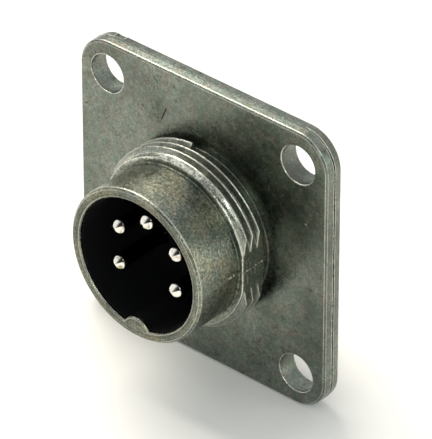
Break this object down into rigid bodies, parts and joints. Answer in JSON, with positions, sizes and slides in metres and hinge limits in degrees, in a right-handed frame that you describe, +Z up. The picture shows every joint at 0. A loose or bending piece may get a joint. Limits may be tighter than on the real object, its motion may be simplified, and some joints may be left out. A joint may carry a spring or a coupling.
{
  "type": "aviation plug connector",
  "caption": "Square-flange panel connector of cast metal with a threaded round barrel, a keyed mouth around pin contacts, corner screw holes and solder cups behind.",
  "frame": {"origin": "centre of the flange's mounting face, on the barrel's axis", "axes": "+Y out of the mounting face into the panel, barrel pointing along -Y, +Z up with the key at the bottom of the mouth"},
  "size_m": [0.033, 0.0203, 0.033],
  "materials": {
    "zinc_casting": "dull tumbled zinc die casting with a thin grey-green plating, mottled",
    "black_moulding": "matt black moulded insulator",
    "plated_contact": "bright silver plating on turned brass",
    "spring_steel": "plain spring steel strip"
  },
  "bodies": {
    "root": {"shell": "zinc_casting", "front_insulator": "black_moulding", "rear_insulator": "black_moulding", "contact_1": "plated_contact", "contact_2": "plated_contact", "contact_3": "plated_contact", "contact_4": "plated_contact", "contact_5": "plated_contact", "snap_ring": "spring_steel"}
  },
  "joints": []
}
